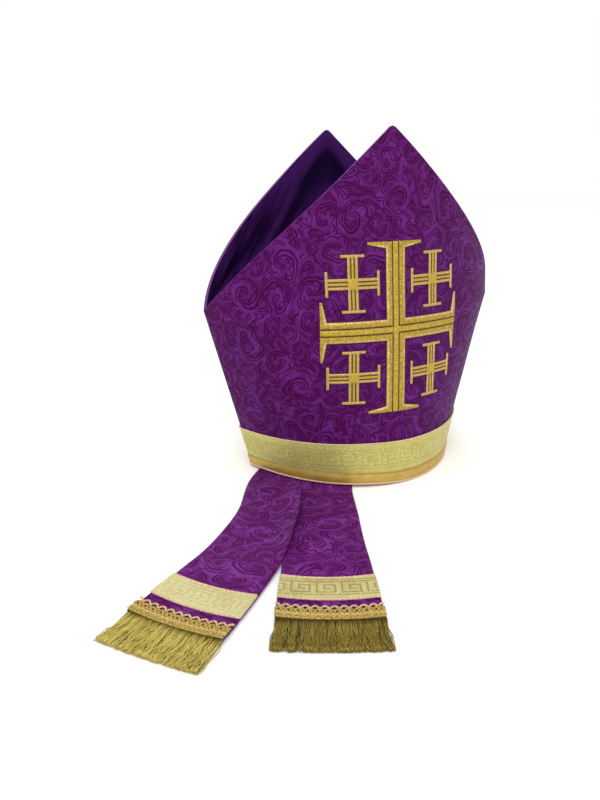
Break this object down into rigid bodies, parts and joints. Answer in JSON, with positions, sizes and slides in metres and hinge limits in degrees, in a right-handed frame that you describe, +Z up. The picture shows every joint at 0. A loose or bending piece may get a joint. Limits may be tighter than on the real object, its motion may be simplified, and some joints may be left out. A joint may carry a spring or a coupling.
{
  "type": "bishop mitre",
  "caption": "Tall two-horned bishop's mitre with braided rim, embroidered crosses on the front and a pair of fringed lappets lying in front of it.",
  "frame": {"origin": "middle of the rim at the level of the surface it stands on", "axes": "+Z up through the horns, -Y towards the embroidered front, +X to the right as seen from the front"},
  "size_m": [0.4374, 0.389, 0.308],
  "materials": {
    "purple_brocade": "silk brocade with a tone-on-tone scrolling leaf figure",
    "dark_satin": "smooth dark purple satin lining",
    "pale_gold_braid": "woven metallic galloon, pale gold with a key pattern",
    "orange_gold_edge": "rolled metallic edging, orange gold",
    "gold_embroidery": "raised metallic thread embroidery with pinkish light edges",
    "old_gold_fringe": "fine twisted metallic fringe, old gold"
  },
  "bodies": {
    "root": {"front_panel": "purple_brocade", "rear_panel": "purple_brocade", "crown_web": "dark_satin", "rim_galloon": "pale_gold_braid", "rim_binding": "orange_gold_edge", "cross_bars": "gold_embroidery", "cross_corner_upper_left": "gold_embroidery", "cross_corner_upper_right": "gold_embroidery", "cross_corner_lower_left": "gold_embroidery", "cross_corner_lower_right": "gold_embroidery", "small_cross_upper_left": "gold_embroidery", "small_cross_upper_right": "gold_embroidery", "small_cross_lower_left": "gold_embroidery", "small_cross_lower_right": "gold_embroidery", "left_lappet": "purple_brocade", "right_lappet": "purple_brocade", "left_lappet_galloon": "pale_gold_braid", "right_lappet_galloon": "pale_gold_braid", "left_fringe_header": "old_gold_fringe", "right_fringe_header": "old_gold_fringe", "left_fringe": "old_gold_fringe", "right_fringe": "old_gold_fringe"}
  },
  "joints": []
}
